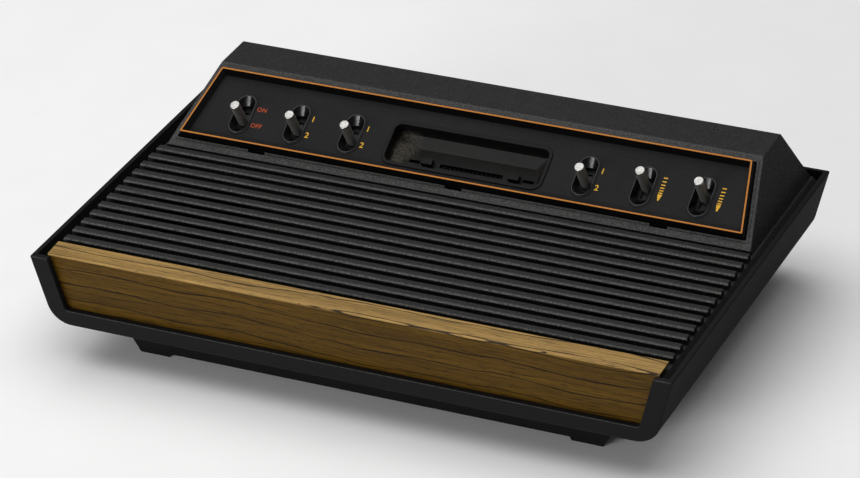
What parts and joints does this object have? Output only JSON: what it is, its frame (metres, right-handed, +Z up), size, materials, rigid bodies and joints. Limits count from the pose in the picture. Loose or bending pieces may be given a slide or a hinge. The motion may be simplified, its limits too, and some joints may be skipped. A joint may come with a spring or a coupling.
{
  "type": "video game console",
  "caption": "Home video game console: tray with woodgrain front, ribbed black casing, sloping panel with metal slide levers and a cartridge well, boards inside.",
  "frame": {"origin": "on the table, under the middle of the box round the whole console", "axes": "+X to the player's right, +Y to the back, +Z up; the front faces -Y"},
  "size_m": [0.3468, 0.2236, 0.0875],
  "materials": {
    "tray_plastic": "matt",
    "casing_plastic": "fine speckled grain",
    "woodgrain": "satin",
    "panel_plastic": "fine grain, orange line on the rim",
    "well_plastic": "satin",
    "liner_plastic": "glossy",
    "lever_metal": "bright, finely turned",
    "carriage_plastic": "satin",
    "blackened_steel": "blackened",
    "tinned_steel": "satin",
    "screw_steel": "zinc plated",
    "board_laminate": "green solder resist",
    "base_laminate": "brown laminate",
    "cast_shield": "as cast",
    "chip_plastic": "matt",
    "resistor_lacquer": "lacquered",
    "socket_brass": "plated",
    "ribbon_plastic": "satin",
    "port_plastic": "satin",
    "knob_plastic": "glossy",
    "sink_aluminium": "mill finish",
    "capacitor_sleeve": "shrunk sleeve",
    "grommet_rubber": "matt"
  },
  "bodies": {
    "console": {"base_tray": "tray_plastic", "top_casing": "casing_plastic", "woodgrain_front": "woodgrain", "control_panel": "panel_plastic", "cartridge_guide": "well_plastic", "cartridge_connector": "port_plastic", "switch_bases": "base_laminate", "switch_board": "board_laminate", "switch_board_screws": "screw_steel", "main_board": "board_laminate", "shield_bottom": "cast_shield", "shield_top": "cast_shield", "shield_screws": "screw_steel", "chip_sockets": "chip_plastic", "io_chip": "chip_plastic", "video_chip": "chip_plastic", "processor_chip": "chip_plastic", "buffer_chip": "chip_plastic", "crystal": "tinned_steel", "board_resistors": "resistor_lacquer", "rf_modulator": "tinned_steel", "phono_socket": "socket_brass", "ribbon_cable": "ribbon_plastic", "left_controller_port": "port_plastic", "right_controller_port": "port_plastic", "left_port_shell": "tinned_steel", "right_port_shell": "tinned_steel", "power_jack": "port_plastic", "channel_switch_housing": "tinned_steel", "heat_sink": "sink_aluminium", "voltage_regulator": "chip_plastic", "filter_capacitors": "capacitor_sleeve", "cord_grommet": "grommet_rubber", "case_screws": "screw_steel", "slot_liner_power": "liner_plastic", "switch_housing_power": "blackened_steel", "slot_liner_tv_type": "liner_plastic", "switch_housing_tv_type": "blackened_steel", "slot_liner_left_difficulty": "liner_plastic", "switch_housing_left_difficulty": "blackened_steel", "slot_liner_right_difficulty": "liner_plastic", "switch_housing_right_difficulty": "blackened_steel", "slot_liner_game_select": "liner_plastic", "switch_housing_game_select": "blackened_steel", "slot_liner_game_reset": "liner_plastic", "switch_housing_game_reset": "blackened_steel"},
    "power_switch": {"lever_power": "lever_metal", "switch_slider_power": "carriage_plastic"},
    "tv_type_switch": {"lever_tv_type": "lever_metal", "switch_slider_tv_type": "carriage_plastic"},
    "left_difficulty_switch": {"lever_left_difficulty": "lever_metal", "switch_slider_left_difficulty": "carriage_plastic"},
    "right_difficulty_switch": {"lever_right_difficulty": "lever_metal", "switch_slider_right_difficulty": "carriage_plastic"},
    "game_select_switch": {"lever_game_select": "lever_metal", "switch_slider_game_select": "carriage_plastic"},
    "game_reset_switch": {"lever_game_reset": "lever_metal", "switch_slider_game_reset": "carriage_plastic"},
    "channel_knob": {"channel_switch_knob": "knob_plastic"}
  },
  "joints": [
    {"name": "power_slide", "type": "slide", "parent": "console", "child": "power_switch", "axis": [0, 0.866, 0.5], "range_m": [0, 0.0042]},
    {"name": "tv_type_slide", "type": "slide", "parent": "console", "child": "tv_type_switch", "axis": [0, 0.866, 0.5], "range_m": [0, 0.0042]},
    {"name": "left_difficulty_slide", "type": "slide", "parent": "console", "child": "left_difficulty_switch", "axis": [0, 0.866, 0.5], "range_m": [0, 0.0042]},
    {"name": "right_difficulty_slide", "type": "slide", "parent": "console", "child": "right_difficulty_switch", "axis": [0, 0.866, 0.5], "range_m": [0, 0.0042]},
    {"name": "game_select_slide", "type": "slide", "parent": "console", "child": "game_select_switch", "axis": [0, 0.866, 0.5], "range_m": [-0.0042, 0], "stiffness_N_per_m": 400, "springref_m": 0.004},
    {"name": "game_reset_slide", "type": "slide", "parent": "console", "child": "game_reset_switch", "axis": [0, 0.866, 0.5], "range_m": [-0.0042, 0], "stiffness_N_per_m": 400, "springref_m": 0.004},
    {"name": "channel_knob_slide", "type": "slide", "parent": "console", "child": "channel_knob", "axis": [1, 0, 0], "range_m": [0, 0.004]}
  ]
}
